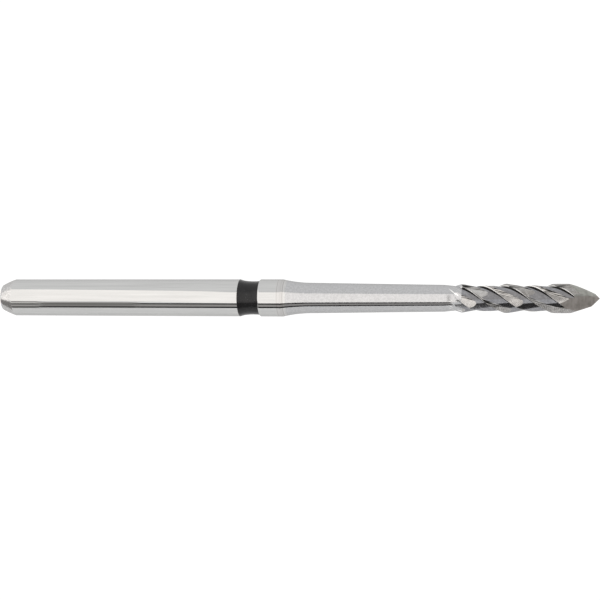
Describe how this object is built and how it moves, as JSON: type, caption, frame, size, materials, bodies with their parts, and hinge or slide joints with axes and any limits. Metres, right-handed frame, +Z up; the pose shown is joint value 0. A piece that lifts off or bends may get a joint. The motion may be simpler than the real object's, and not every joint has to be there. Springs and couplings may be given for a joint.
{
  "type": "carbide burr",
  "caption": "Slim rotary burr: ground carbide head with cross-cut helical blades and a faceted point on a long tapered neck, with a banded cylindrical shank.",
  "frame": {"origin": "centre of the flat face at the shank's end", "axes": "+X along the tool's axis, from the shank's end towards the tip; the pictured side faces -Y, and +Z is up in that view"},
  "size_m": [0.026, 0.0016, 0.0016],
  "materials": {
    "stainless_steel": "polished",
    "black_lacquer": "satin",
    "tungsten_carbide": "satin"
  },
  "bodies": {
    "root": {"shank": "stainless_steel", "colour_band": "black_lacquer", "carbide_cutter": "tungsten_carbide"}
  },
  "joints": []
}
